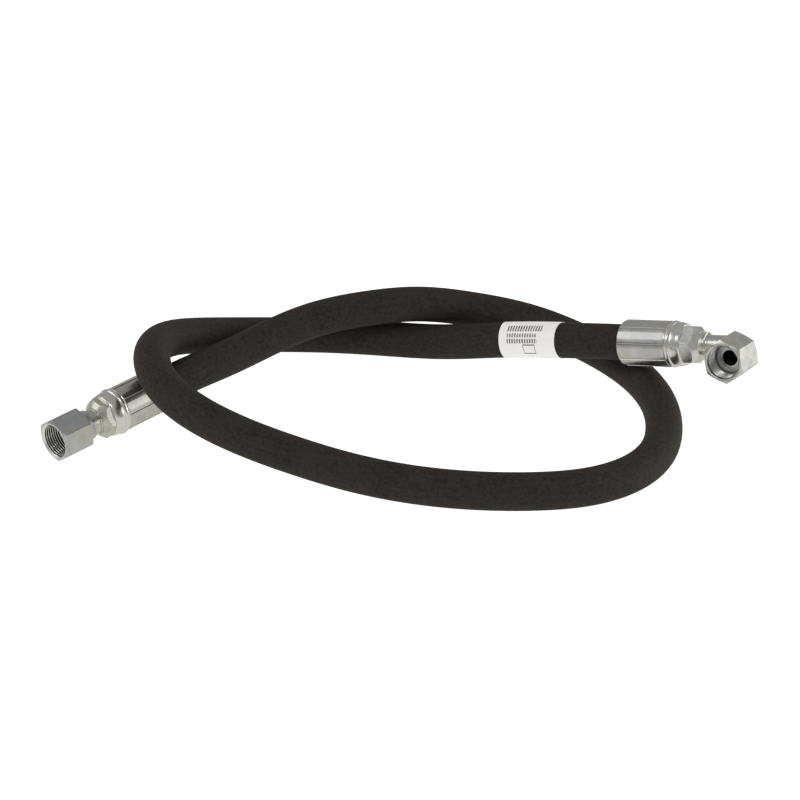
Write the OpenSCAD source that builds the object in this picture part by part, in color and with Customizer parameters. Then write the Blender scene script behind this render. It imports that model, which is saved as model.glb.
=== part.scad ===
// Hydraulic hose assembly: a two-wire-braid hose, laid in loose loops, with a crimped
// fitting at each end. The left end has a straight swivel nut, the right end a 90 degree
// tube elbow with a swivel nut. Millimetres, +Z up. The origin is on the floor, under the
// middle of the two fittings' box.

/* [Hose] */
// Bore of the inner tube
hose_bore = 12.7; // [12:0.1:13.4]
// Wall of the inner rubber tube
tube_wall = 1.65; // [1.3:0.05:2]
// Thickness of each wire braid
braid_t = 0.7; // [0.5:0.05:0.9]
// Thickness of the rubber layer between the braids
bond_t = 0.3; // [0.2:0.05:0.4]
// Thickness of the outer cover
cover_t = 1.3; // [1:0.05:1.6]
// How far the hose's radius shrinks under a crimp shell
crimp_squeeze = 0.9; // [0.6:0.05:1.1]
// Thickness of the label wrapped round the hose
label_t = 0.5; // [0.3:0.1:0.8]

/* [Crimp shell] */
// Length of the crimped zone
crimp_l = 32.4; // [28:0.1:36]
// Wall of the shell from its teeth to a die flat
shell_wall = 3.35; // [2.8:0.05:4]
// Number of die flats round the shell
die_count = 8; // [6:1:10]
// Height of the ridges left between two dies
ridge_h = 0.6; // [0.3:0.1:0.8]
// Width of the bevel round the shell's mouth
mouth_bevel = 1.5; // [1:0.1:2]
// Length over which the mouth flares open
flare_l = 4.2; // [3:0.1:6]
// Width of the uncrimped bead
bead_w = 3.7; // [2.5:0.1:5]
// Height of the bead above a die flat
bead_h = 0.8; // [0.5:0.1:1.2]
// Length of the rounded nose, from the bead to the stem's hexagon
nose_l = 6.2; // [5:0.1:9]
// How far the nose draws in from the die flats to its tip
nose_draw = 1.6; // [1:0.1:2.2]
// Number of gripping teeth in the shell's bore
tooth_count = 6; // [4:1:8]
// Depth of the grooves between the teeth
tooth_depth = 0.45; // [0.3:0.05:0.7]

/* [Stem] */
// Bore through a stem
stem_bore = 9.8; // [8.5:0.1:10.4]
// Depth of the barbs on a stem's tail
barb_depth = 0.35; // [0.2:0.05:0.5]
// Number of barbs
barb_count = 8; // [5:1:10]
// Width of the collar that stops the hose
collar_w = 3.9; // [3:0.1:5]
// Diameter of that collar
collar_d = 18.6; // [17:0.1:19.4]
// Diameter of the groove that the shell's flange locks into
lock_d = 15.2; // [14:0.1:16]
// Hexagon across the flats
stem_af = 22.2; // [20:0.1:24]
// Length of the left stem's hexagon, its cone included
left_hex_l = 6.8; // [6:0.1:9]
// Length of the right stem's hexagon, its cone included
right_hex_l = 10.2; // [8:0.1:12]
// Width of the bevel where the hexagon meets the shell
stem_bevel = 0.8; // [0.4:0.1:1.2]
// Diameter at the small end of the cone turned on the hexagon's front
cone_d = 17.4; // [16.8:0.1:19]

/* [Swivel nut] */
// Hexagon across the flats
nut_af = 23.8; // [23:0.1:27]
// Length of the left nut's hexagon
left_nut_hex_l = 20.3; // [19:0.1:24]
// Length of the right nut's hexagon
right_nut_hex_l = 22.3; // [21:0.1:24]
// Minor diameter of the internal thread
thread_d = 19; // [18.4:0.1:19.6]
// Gap between the thread's inner end and the seal face
thread_gap = 0.2; // [0.1:0.1:0.4]
// Length of the relief behind the thread
relief_l = 3; // [2:0.1:4]
// Diameter of the relief
relief_d = 20.8; // [20:0.1:21.6]
// Bevel round the mouth of the thread
mouth_chamfer = 1; // [0.6:0.1:1.4]
// Diameter of the round face where a hexagon's corners are bevelled off
nut_face_d = 23.2; // [22.6:0.1:24]
// Length of the round skirt behind the left nut's hexagon
skirt_l = 5.6; // [5:0.1:8]
// Wall of the skirt
skirt_wall = 1.6; // [1.2:0.1:2.2]
// Length of the lip rolled over the neck
lip_l = 1.5; // [1:0.1:2]
// Wall of the rolled lip
lip_wall = 1; // [0.8:0.1:1.4]
// Thickness of the right nut's rear wall
rear_wall = 4.7; // [3.5:0.1:6]

/* [Seal faces] */
// Diameter of the flat seal face inside a nut
seal_d = 17.3; // [16.6:0.1:17.6]
// Depth of the left seal face behind its nut's mouth
left_seal_recess = 12.5; // [11:0.1:13]
// Depth of the right seal face behind its nut's mouth
right_seal_recess = 10; // [10:0.1:11]
// Bevel round the seal face
seal_bevel = 0.4; // [0.2:0.1:0.8]
// Diameter of the left stem's neck, and of the right stem's socket end
neck_d = 15.6; // [15:0.1:15.8]
// Length of the left neck between the hexagon and the nut's lip
neck_l = 5.1; // [4:0.1:9]

/* [Elbow] */
// Outer diameter of the bent tube
elbow_d = 12.7; // [12:0.1:13]
// Wall of the bent tube
elbow_wall = 1.5; // [1:0.1:2]
// Bend radius of the tube's centre line
bend_r = 12.5; // [11:0.5:16]
// Length of the right stem's round socket end past its hexagon
socket_l = 2.9; // [1.5:0.1:5]
// Depth of the tube in that socket
socket_depth = 6; // [4:0.1:8]
// Length of the braze ring along the tube
braze_l = 3; // [2:0.1:4]
// Straight length of tube between the braze ring and the bend
leg_l = 12; // [8:0.1:24]

/* [Placing] */
// Middle of the left shell's mouth, to the right
left_x = -145.6; // [-151:0.1:-140]
// Middle of the left shell's mouth, to the back
left_y = 6.6; // [1:0.1:12]
// Height of the middle of the left shell's mouth
left_z = 21.8; // [21.8:0.1:24]
// Heading of the left fitting, from the mouth to the nut, seen from above
left_heading = 224.3; // [222:0.1:227]
// Downward tilt of the left fitting
left_tilt = 5.9; // [4.5:0.1:5.9]
// Turn of the left shell's die flats
left_shell_turn = 5; // [0:1:44]
// Turn of the left stem's hexagon
left_stem_turn = 22; // [0:1:59]
// Turn of the left nut on its stem
left_nut_turn = 2; // [0:1:59]
// Middle of the right shell's mouth, to the right
right_x = 137; // [133:0.1:141]
// Middle of the right shell's mouth, to the back
right_y = 46.3; // [43:0.1:50]
// Height of the middle of the right shell's mouth
right_z = 36; // [35.5:0.5:40]
// Heading of the right fitting
right_heading = -30.7; // [-33:0.1:-28]
// Upward tilt of the right fitting
right_tilt = 10.3; // [8:0.1:12]
// Turn of the right shell's die flats
right_shell_turn = 28; // [0:1:44]
// Turn of the right stem's hexagon
right_stem_turn = 10; // [0:1:59]
// Turn of the elbow about the right fitting, upwards from level
elbow_turn = 4.4; // [0:0.1:20]
// Turn of the right nut on its tube
right_nut_turn = 4; // [0:1:59]

/* [Hidden] */

$fn = 64;
run_gap = 0.25;      // a nut round its stem, and its rear wall behind the seal sleeve
seat_gap = 0.05;     // parts that are crimped, pushed or brazed together
mouth_gap = 0.3;     // free hose in a shell's mouth
end_gap = 0.5;       // the hose's cut end behind the stem's collar
cut = 1;             // how far a cutting shape runs past the face that it opens

// The hose, layer by layer, as free radii
inner_r = hose_bore / 2;
braid_1_r = inner_r + tube_wall;
bond_r = braid_1_r + braid_t;
braid_2_r = bond_r + bond_t;
cover_r = braid_2_r + braid_t;
hose_r = cover_r + cover_t;

// Stem and shell, as distances along a fitting from the shell's mouth towards the nut
hose_sides = 12;
crimp_r = hose_r - crimp_squeeze;
shell_bore_r = crimp_r + seat_gap;
flat_r = shell_bore_r + shell_wall;
ridge_r = flat_r + ridge_h;
bead_r = flat_r + bead_h;
tail_r = inner_r - seat_gap;
crimped_bore_r = (tail_r + seat_gap / 2) / cos(180 / hose_sides);
tail_tip = 1;
flange_start = crimp_l + collar_w;
hex_start = crimp_l + bead_w + nose_l;
left_hex_end = hex_start + left_hex_l;
right_hex_end = hex_start + right_hex_l;

// Left nut and head
neck_r = neck_d / 2;
lip_start = left_hex_end + neck_l;
head_r = seal_d / 2;
lip_bore_r = neck_r + run_gap;
head_bore_r = head_r + run_gap;
left_nut_l = skirt_l + left_nut_hex_l;
left_seal = lip_start + left_nut_l - left_seal_recess;

// Right tube, sleeve and nut, the nut as distances from the corner of the elbow
tube_r = elbow_d / 2;
socket_end = right_hex_end + socket_l;
corner = socket_end + braze_l + leg_l + bend_r;
right_nut_back = bend_r + run_gap * 2;
right_nut_front = right_nut_back + right_nut_hex_l;
right_seal = right_nut_front - right_seal_recess;
sleeve_back = right_nut_back + rear_wall + run_gap;
sleeve_l = right_seal - sleeve_back;

// Places and directions of the two shell mouths
left_mouth = [left_x, left_y, left_z];
right_mouth = [right_x, right_y, right_z];
left_dir = direction(left_heading, -left_tilt);
right_dir = direction(right_heading, right_tilt);

// The hose's centre line between its two straight ends, from the left fitting to the right
route = [
    [-105, 46, 26], [-79, 69.5, 30], [-52, 88, 34], [-21, 101.5, 35.5], [12, 113.5, 33.5],
    [45, 122, 26.5], [79, 119.3, 20], [108, 104.8, 14.3], [132, 78, 11.2], [147, 46, 11],
    [155, 12, 11], [156, -23, 11], [150, -57, 11], [134, -88, 12], [108, -111, 14],
    [75, -124, 17], [41, -127, 19], [6, -121, 20], [-27, -110, 22], [-59, -96.5, 26],
    [-91.5, -86, 34.3], [-120.5, -67.5, 42], [-139, -41, 46.8], [-147, -9, 49], [-144, 24, 45.5],
    [-132, 52, 37.5], [-110, 79, 27], [-80, 102, 17.5], [-45, 112.5, 12.5], [-10, 111, 11],
    [25, 102.5, 12.5], [65.7, 86.2, 20.6], [99.5, 68.7, 27.8]
];
label_point = 31;    // the label runs from this point of the route to the next one

// Rings at each end: the cut end, the end of the crimp, the mouth and one diameter outside
end_rings = [crimp_l - end_gap, flare_l, -end_gap, -2 * hose_r];
end_count = len(end_rings);
centres = concat(
    [for (t = end_rings) left_mouth + t * left_dir],
    route,
    [for (i = [end_count - 1:-1:0]) right_mouth + end_rings[i] * right_dir]
);
last = len(centres) - 1;

function direction(heading, tilt) =
    [cos(tilt) * cos(heading), cos(tilt) * sin(heading), sin(tilt)];
function unit(v) = v / norm(v);
function tangent(i) = unit(centres[min(i + 1, last)] - centres[max(i - 1, 0)]);
function is_crimped(i) = i < 2 || i > last - 2;
// Radius of a layer's surface where the shell squeezes the hose onto the stem
function squeezed(r) =
    crimped_bore_r + (r - inner_r) * (crimp_r - crimped_bore_r) / (hose_r - inner_r);
// One ring of points round the centre line, its first point underneath
function ring(i, r) =
    let (along = tangent(i), side = unit(cross(along, [0, 0, 1])), up = cross(side, along))
    [for (k = [0:hose_sides - 1])
        let (a = 270 + 360 * k / hose_sides)
        centres[i] + r * (cos(a) * side + sin(a) * up)];

// Length of the hose, and its least gap to itself, measured on points along it
steps = 4;
trail = [for (i = [0:last - 1]) for (s = [0:steps - 1])
    centres[i] + (centres[i + 1] - centres[i]) * s / steps];
apart = 5 * steps;
hose_length = [for (i = [0:last - 1]) norm(centres[i + 1] - centres[i])] * [for (i = [0:last - 1]) 1];
self_gap = min([for (i = [0:len(trail) - 1 - apart]) for (j = [i + apart:len(trail) - 1])
    norm(trail[i] - trail[j])]) - 2 * hose_r;
echo(str("Hose length ", round(hose_length), " mm, least gap to itself ", self_gap, " mm"));

// A tube of the hose between two radii, from one ring to another, with triangles for faces.
// Layers that share a radius share the same triangles there.
module hose_layer(inside, outside, first = 0, final = last) {
    n = hose_sides;
    rings = final - first + 1;
    walls = [for (r = [outside, inside]) for (i = [first:final])
        each ring(i, is_crimped(i) ? squeezed(r) : r)];
    inner = rings * n;
    sides = [for (i = [0:rings - 2]) for (k = [0:n - 1])
        let (a = i * n + k, b = i * n + (k + 1) % n, c = b + n, d = a + n)
        each [[a, b, c], [a, c, d],
              [inner + a, inner + c, inner + b], [inner + a, inner + d, inner + c]]];
    far = (rings - 1) * n;
    ends = [for (k = [0:n - 1])
        let (a = k, b = (k + 1) % n)
        each [[a, inner + a, b], [b, inner + a, inner + b],
              [far + a, far + b, far + inner + a], [far + b, far + inner + b, far + inner + a]]];
    polyhedron(points = walls, faces = concat(sides, ends));
}

// Puts a fitting at a shell mouth, with local +Z from the mouth to the nut
module at_left() {
    translate(left_mouth) rotate([0, 90 + left_tilt, left_heading]) children();
}
module at_right() {
    translate(right_mouth) rotate([0, 90 - right_tilt, right_heading]) children();
}
// The elbow's outlet, with local +Z from the elbow's corner to the nut's mouth
module at_elbow() {
    at_right() rotate([0, 0, -elbow_turn]) translate([0, 0, corner]) rotate([90, 0, 0]) children();
}

module inner_tube() {
    color("dimgray") hose_layer(inner_r, braid_1_r);
}
module inner_wire_braid() {
    color("goldenrod") hose_layer(braid_1_r, bond_r);
}
module bond_layer() {
    color("darkslategray") hose_layer(bond_r, braid_2_r);
}
module outer_wire_braid() {
    color("darkgoldenrod") hose_layer(braid_2_r, cover_r);
}
module hose_cover() {
    color([0.16, 0.15, 0.14]) hose_layer(cover_r, hose_r);
}
module label_sleeve() {
    first = end_count + label_point;
    color("whitesmoke") hose_layer(hose_r, hose_r + label_t, first, first + 1);
}

// Bore of a crimp shell: flared mouth, grooves between gripping teeth, and a locking flange
module shell_bore() {
    pitch = (crimp_l - flare_l) / tooth_count;
    slope = tooth_depth;
    rotate_extrude() polygon(concat(
        [[0, -cut], [hose_r + mouth_gap, -cut], [hose_r + mouth_gap, 0]],
        [for (i = [0:tooth_count - 1])
            let (start = flare_l + i * pitch)
            each [[shell_bore_r, start],
                  [shell_bore_r, start + pitch / 3],
                  [shell_bore_r + tooth_depth, start + pitch / 3 + slope],
                  [shell_bore_r + tooth_depth, start + pitch - slope]]],
        [[shell_bore_r, crimp_l], [shell_bore_r, flange_start],
         [lock_d / 2 + seat_gap, flange_start], [lock_d / 2 + seat_gap, hex_start + cut],
         [0, hex_start + cut]]
    ));
}

// A crimp shell: die flats with ridges between them, a bead that the dies left round, and a nose
module crimp_shell(turn) {
    nose_r = flat_r - nose_draw;
    bead_round = bead_w / 2;
    difference() {
        union() {
            intersection() {
                rotate_extrude() polygon([
                    [0, 0], [ridge_r - mouth_bevel, 0], [ridge_r, mouth_bevel],
                    [ridge_r, crimp_l], [0, crimp_l]
                ]);
                rotate([0, 0, turn])
                    cylinder(r = flat_r / cos(180 / die_count), h = crimp_l, $fn = die_count);
            }
            rotate_extrude() {
                translate([0, crimp_l]) square([bead_r - bead_round / 2, bead_w]);
                translate([bead_r - bead_round, crimp_l + bead_round]) circle(r = bead_round);
                polygon(concat(
                    [[0, crimp_l], [flat_r, crimp_l]],
                    [for (a = [0:15:90])
                        [nose_r + nose_draw * cos(a), hex_start - nose_l + nose_l * sin(a)]],
                    [[0, hex_start]]
                ));
            }
        }
        shell_bore();
    }
}

// A hexagon with its corners bevelled off at both ends
module bevelled_hexagon(af, length, face_r, bevel_angle) {
    corner_r = af / 2 / cos(30) + seat_gap;
    bevel = (corner_r - face_r) * tan(bevel_angle);
    intersection() {
        cylinder(r = af / 2 / cos(30), h = length, $fn = 6);
        rotate_extrude() polygon([
            [0, 0], [face_r, 0], [corner_r, bevel], [corner_r, length - bevel],
            [face_r, length], [0, length]
        ]);
    }
}

// The part of a stem that both ends share: barbed tail, collar, locking groove and a hexagon
// with a cone turned on its front
module stem_body(hex_l, turn) {
    barb_pitch = (crimp_l - tail_tip) / barb_count;
    rotate_extrude() polygon(concat(
        [[0, tail_tip]],
        [for (i = [0:barb_count - 1])
            let (start = tail_tip + i * barb_pitch)
            each [[tail_r - barb_depth, start], [tail_r, start + barb_pitch * 0.7],
                  [tail_r, start + barb_pitch]]],
        [[collar_d / 2, crimp_l], [collar_d / 2, flange_start], [lock_d / 2, flange_start],
         [lock_d / 2, hex_start + cut], [0, hex_start + cut]]
    ));
    corner_r = stem_af / 2 / cos(30);
    cone_l = corner_r + seat_gap - cone_d / 2;
    translate([0, 0, hex_start]) intersection() {
        rotate([0, 0, turn]) cylinder(r = corner_r, h = hex_l, $fn = 6);
        rotate_extrude() polygon([
            [0, 0], [corner_r - stem_bevel, 0], [corner_r + seat_gap, stem_bevel + seat_gap],
            [corner_r + seat_gap, hex_l - cone_l], [cone_d / 2, hex_l], [0, hex_l]
        ]);
    }
}

module left_stem() {
    shoulder = lip_start + lip_l + run_gap;
    color("lightsteelblue") at_left() difference() {
        union() {
            stem_body(left_hex_l, left_stem_turn);
            rotate_extrude() polygon([
                [0, left_hex_end - cut], [neck_r, left_hex_end - cut], [neck_r, shoulder],
                [head_r, shoulder + head_r - neck_r], [head_r, left_seal - seal_bevel],
                [head_r - seal_bevel, left_seal], [0, left_seal]
            ]);
        }
        translate([0, 0, tail_tip - cut]) cylinder(d = stem_bore, h = left_seal + 2 * cut);
    }
}

module right_stem() {
    color("lightsteelblue") at_right() difference() {
        union() {
            stem_body(right_hex_l, right_stem_turn);
            translate([0, 0, right_hex_end - cut]) cylinder(d = neck_d, h = socket_l + cut);
        }
        translate([0, 0, tail_tip - cut]) cylinder(d = stem_bore, h = socket_end);
        translate([0, 0, socket_end - socket_depth])
            cylinder(r = tube_r + seat_gap, h = socket_depth + cut);
    }
}

module left_shell() {
    color("gainsboro") at_left() crimp_shell(left_shell_turn);
}
module right_shell() {
    color("gainsboro") at_right() crimp_shell(right_shell_turn);
}

// Bore of a swivel nut, given the depth of its seal face and the points of its rear opening
module nut_bore(length, recess, rear) {
    mouth_r = thread_d / 2 + mouth_chamfer;
    thread_back = length - recess + thread_gap;
    rotate_extrude() polygon(concat(
        rear,
        [[head_bore_r, thread_back - relief_l], [relief_d / 2, thread_back - relief_l],
         [relief_d / 2, thread_back], [thread_d / 2, thread_back],
         [thread_d / 2, length - mouth_chamfer], [mouth_r, length], [mouth_r, length + cut],
         [0, length + cut]]
    ));
}

// The left nut: a hexagon with a round skirt whose lip is rolled in over the stem's neck
module left_nut() {
    lip_r = lip_bore_r + lip_wall;
    skirt_r = head_bore_r + skirt_wall;
    color("silver") at_left() translate([0, 0, lip_start]) rotate([0, 0, left_nut_turn])
        difference() {
            union() {
                rotate_extrude() polygon([
                    [0, 0], [lip_r, 0], [lip_r, lip_l], [skirt_r, lip_l + skirt_r - lip_r + lip_l],
                    [skirt_r, skirt_l + cut], [0, skirt_l + cut]
                ]);
                translate([0, 0, skirt_l]) bevelled_hexagon(nut_af, left_nut_hex_l, nut_face_d / 2, 30);
            }
            nut_bore(left_nut_l, left_seal_recess, [
                [0, -cut], [lip_bore_r, -cut], [lip_bore_r, lip_l],
                [head_bore_r, lip_l + head_bore_r - lip_bore_r]
            ]);
        }
}

// The right nut: a plain hexagon with a rear wall that pulls on the seal sleeve
module right_nut() {
    hole_r = tube_r + run_gap;
    color("silver") at_elbow() translate([0, 0, right_nut_back]) rotate([0, 0, right_nut_turn])
        difference() {
            bevelled_hexagon(nut_af, right_nut_hex_l, nut_face_d / 2, 30);
            nut_bore(right_nut_hex_l, right_seal_recess, [
                [0, -cut], [hole_r, -cut], [hole_r, rear_wall], [head_bore_r, rear_wall]
            ]);
        }
}

// The bent tube, from the bottom of the stem's socket round the corner to the seal face
module right_tube() {
    start = socket_end - socket_depth;
    module wall() {
        difference() {
            circle(r = tube_r);
            circle(r = tube_r - elbow_wall);
        }
    }
    color("lightgray") at_right() rotate([0, 0, -elbow_turn]) {
        translate([0, 0, start]) linear_extrude(corner - bend_r - start) wall();
        translate([0, -bend_r, corner - bend_r]) rotate([90, 0, 90])
            rotate_extrude(angle = 90) translate([bend_r, 0]) wall();
        translate([0, -bend_r, corner]) rotate([90, 0, 0])
            linear_extrude(right_seal - bend_r) wall();
    }
}

// A concave ring of braze between the stem's socket end and the tube
module right_braze_ring() {
    outer_r = neck_r + run_gap;
    inner_wall = tube_r + seat_gap;
    height = outer_r - inner_wall;
    collar = braze_l / 3;
    color("tan") at_right() translate([0, 0, socket_end]) rotate_extrude() polygon(concat(
        [[inner_wall, 0], [outer_r, 0], [outer_r, collar]],
        [for (a = [15:15:90])
            [outer_r - height * 0.9 * sin(a), collar + (braze_l - collar) * (1 - cos(a))]],
        [[inner_wall, braze_l]]
    ));
}

// The sleeve brazed on the tube's end, whose front is the flat seal face
module right_face_sleeve() {
    inner_wall = tube_r + seat_gap;
    color("gainsboro") at_elbow() translate([0, 0, sleeve_back]) rotate_extrude() polygon([
        [inner_wall, 0], [head_r, 0], [head_r, sleeve_l - seal_bevel],
        [head_r - seal_bevel, sleeve_l], [inner_wall, sleeve_l]
    ]);
}

inner_tube();
inner_wire_braid();
bond_layer();
outer_wire_braid();
hose_cover();
label_sleeve();
left_shell();
left_stem();
left_nut();
right_shell();
right_stem();
right_tube();
right_braze_ring();
right_face_sleeve();
right_nut();
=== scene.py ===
import bpy
import bmesh
import numpy
from math import pi, sin, cos, tan, radians
from mathutils import Matrix, Vector


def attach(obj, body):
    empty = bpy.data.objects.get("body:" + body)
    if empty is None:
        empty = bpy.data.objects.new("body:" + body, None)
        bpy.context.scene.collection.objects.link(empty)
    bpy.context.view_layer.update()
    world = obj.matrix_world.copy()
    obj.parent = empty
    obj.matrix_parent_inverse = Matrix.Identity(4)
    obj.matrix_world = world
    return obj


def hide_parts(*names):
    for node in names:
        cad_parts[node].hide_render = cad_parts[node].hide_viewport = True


# A two-wire-braid hydraulic hose with a crimped fitting at each end.
# Sizes are in millimetres and angles in degrees; mm turns sizes into Blender's metres.
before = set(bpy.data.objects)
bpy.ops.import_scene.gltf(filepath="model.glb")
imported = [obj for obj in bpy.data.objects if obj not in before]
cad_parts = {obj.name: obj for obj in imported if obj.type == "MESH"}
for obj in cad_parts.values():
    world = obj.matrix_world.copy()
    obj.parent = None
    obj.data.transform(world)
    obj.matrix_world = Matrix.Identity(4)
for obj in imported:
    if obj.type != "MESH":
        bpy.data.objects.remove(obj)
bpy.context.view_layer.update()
mm = 0.001
nearly = 0.01            # two sizes this close are the same
mergeWithin = 0.001      # points this close become one


def addObject(name, data):
    added = bpy.data.objects.new(name, data)
    bpy.context.collection.objects.link(added)
    return added


def aimAt(looker, place, target):
    # a camera or a lamp looks along its own -Z
    turn = (target - place).to_track_quat("-Z", "Y")
    looker.matrix_world = Matrix.Translation(place) @ turn.to_matrix().to_4x4()


view = {"target": (-0.3, 40.7, 0), "distance": 2000, "elevation": 24, "lens": 147.24, "sensor": 36,
        "nearest": 50}


def makeCamera():
    elevation = radians(view["elevation"])
    target = Vector(view["target"]) * mm
    place = target + Vector((0, -cos(elevation), sin(elevation))) * view["distance"] * mm
    data = bpy.data.cameras.new("camera")
    data.sensor_width = view["sensor"]
    data.lens = view["lens"]
    data.clip_start = view["nearest"] * mm
    camera = addObject("camera", data)
    aimAt(camera, place, target)
    bpy.context.scene.camera = camera


makeCamera()
print("camera done")


class Look:
    # one procedural material, put together from small steps
    def __init__(self, name):
        self.material = bpy.data.materials.new(name)
        self.material.use_nodes = True
        self.tree = self.material.node_tree
        self.surface = self.tree.nodes["Principled BSDF"]

    def add(self, kind, **settings):
        node = self.tree.nodes.new("ShaderNode" + kind)
        for name, value in settings.items():
            setattr(node, name, value)
        return node

    def put(self, socket, value):
        # a socket takes either another socket or a constant
        if isinstance(value, bpy.types.NodeSocket):
            self.tree.links.new(value, socket)
        else:
            socket.default_value = value

    def fill(self, node, values):
        for name, value in values.items():
            self.put(node.inputs[name], value)

    def maths(self, operation, *values):
        node = self.add("Math", operation=operation)
        for socket, value in zip(node.inputs, values):
            self.put(socket, value)
        return node.outputs[0]

    def plus(self, first, second):
        return self.maths("ADD", first, second)

    def minus(self, first, second):
        return self.maths("SUBTRACT", first, second)

    def times(self, first, second):
        return self.maths("MULTIPLY", first, second)

    def above(self, value, limit):
        return self.maths("GREATER_THAN", value, limit)

    def below(self, value, limit):
        return self.maths("LESS_THAN", value, limit)

    def size(self, value):
        return self.maths("ABSOLUTE", value)

    def fraction(self, value):
        return self.maths("FRACT", value)

    def wave(self, value, factor):
        return self.maths("SINE", self.times(value, factor))

    def mix(self, amount, first, second):
        node = self.add("Mix", data_type="RGBA")
        self.fill(node, {"Factor": amount, "A": first, "B": second})
        return node.outputs["Result"]

    def ownCoords(self, place=None):
        # object coordinates, in the fitting's own frame where its place is given
        source = self.add("TexCoord").outputs["Object"]
        if place is None:
            return source
        node = self.add("Mapping", vector_type="TEXTURE")
        self.fill(node, {"Vector": source, "Location": place.to_translation(), "Rotation": place.to_euler()})
        return node.outputs[0]

    def layout(self):
        return self.add("UVMap").outputs[0]

    def split(self, vector):
        node = self.add("SeparateXYZ")
        self.put(node.inputs[0], vector)
        return node.outputs

    def stretched(self, vector, factors):
        node = self.add("VectorMath", operation="MULTIPLY")
        self.put(node.inputs[0], vector)
        self.put(node.inputs[1], factors)
        return node.outputs[0]

    def noise(self, vector, scale, detail, roughness):
        node = self.add("TexNoise")
        self.fill(node, {"Vector": vector, "Scale": scale, "Detail": detail, "Roughness": roughness})
        return node.outputs["Fac"]

    def noises(self, vector, recipes):
        # a recipe is a noise's scale, detail and roughness
        return {name: self.noise(vector, *recipe) for name, recipe in recipes.items()}

    def ramp(self, value, fromLow, fromHigh, toLow=0.0, toHigh=1.0):
        # wherever a look holds four limits, they come in this order
        node = self.add("MapRange")
        self.fill(node, {"Value": value, "From Min": fromLow, "From Max": fromHigh,
                         "To Min": toLow, "To Max": toHigh})
        return node.outputs[0]

    def blend(self, pattern, limits, tones):
        return self.mix(self.ramp(pattern, *limits), *tones)

    def layered(self, tone, patterns, layers):
        # a layer is its pattern, where it starts and is full, how strong it gets, and its tone
        for name, start, full, strength, colour in layers:
            tone = self.mix(self.ramp(patterns[name], start, full, 0, strength), tone, colour)
        return tone

    def bump(self, height, depth, strength, below=None):
        node = self.add("Bump")
        self.fill(node, {"Height": height, "Distance": depth * mm, "Strength": strength})
        if below is not None:
            self.put(node.inputs["Normal"], below)
        return node.outputs[0]

    def finish(self, values):
        self.fill(self.surface, values)
        return self.material


coverLook = {
    "noises": {"blotch": (45, 4, 0.6), "dust": (700, 3, 0.7), "mottle": (420, 4, 0.75)},
    "streakStretch": (2.4, 26, 1), "streak": (1, 4, 0.65),
    "tones": ((0.026, 0.0217, 0.019, 1), (0.0445, 0.038, 0.0338, 1)), "toneLimits": (0.35, 0.68),
    "layers": (("mottle", 0.4, 0.66, 0.62, (0.062, 0.0525, 0.046, 1)),
               ("mottle", 0.5, 0.34, 0.35, (0.013, 0.0112, 0.01, 1)),
               ("dust", 0.5, 0.8, 0.38, (0.078, 0.07, 0.064, 1)),
               ("streak", 0.46, 0.68, 0.45, (0.058, 0.051, 0.046, 1))),
    "threads": 84, "wrapTurns": 0.62, "wrapEdge": 0.02, "wrapShade": 0.25,
    "wrapTone": (0.014, 0.0125, 0.0115, 1), "wrapStep": 0.5,
    "clothBump": (0.04, 0.55), "dustBump": (0.12, 0.35), "wrapBump": (0.1, 0.4),
    "roughness": (0.3, 0.7, 0.64, 0.78), "specular": 0.2}


def makeCoverLook():
    # matte cover cured in a cloth wrap: fine weave, faint spiral edges of the wrapping tape
    look = Look("wrappedRubber")
    layout = look.layout()
    place = look.ownCoords()
    along, around = look.split(layout)[:2]
    threadWave = 2 * pi * coverLook["threads"]
    cloth = look.times(look.wave(along, threadWave), look.wave(around, threadWave))
    spiral = look.fraction(look.plus(look.times(along, coverLook["wrapTurns"]), around))
    edge = look.ramp(look.size(look.minus(spiral, 0.5)), 0.0, coverLook["wrapEdge"], 1.0, 0.0)
    patterns = look.noises(place, coverLook["noises"])
    patterns["streak"] = look.noise(look.stretched(layout, coverLook["streakStretch"]), *coverLook["streak"])
    tone = look.blend(patterns["blotch"], coverLook["toneLimits"], coverLook["tones"])
    tone = look.layered(tone, patterns, coverLook["layers"])
    tone = look.mix(look.times(edge, coverLook["wrapShade"]), tone, coverLook["wrapTone"])
    normal = look.bump(cloth, *coverLook["clothBump"])
    normal = look.bump(patterns["dust"], *coverLook["dustBump"], normal)
    wrap = look.minus(look.times(spiral, coverLook["wrapStep"]), edge)
    normal = look.bump(wrap, *coverLook["wrapBump"], normal)
    return look.finish({"Base Color": tone, "Normal": normal, "Specular IOR Level": coverLook["specular"],
                        "Roughness": look.ramp(patterns["blotch"], *coverLook["roughness"])})


innerLook = {"soot": (160, 3, 0.6), "tones": ((0.018, 0.018, 0.018, 1), (0.03, 0.029, 0.028, 1)),
             "toneLimits": (0.3, 0.7), "roughness": (0.3, 0.7, 0.5, 0.62), "bump": (0.08, 0.4),
             "specular": 0.4}


def makeInnerLook():
    # the smooth rubber inside the braids
    look = Look("smoothRubber")
    soot = look.noise(look.ownCoords(), *innerLook["soot"])
    return look.finish({"Base Color": look.blend(soot, innerLook["toneLimits"], innerLook["tones"]),
                        "Roughness": look.ramp(soot, *innerLook["roughness"]),
                        "Normal": look.bump(soot, *innerLook["bump"]),
                        "Specular IOR Level": innerLook["specular"]})


wireLook = {"carriers": 12, "wires": 5, "slant": 0.72, "toneLimits": (0, 0.9),
            "tones": ((0.16, 0.11, 0.05, 1), (0.72, 0.56, 0.28, 1)),
            "roughness": (0, 1, 0.55, 0.3), "bump": (0.15, 0.8)}


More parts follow.
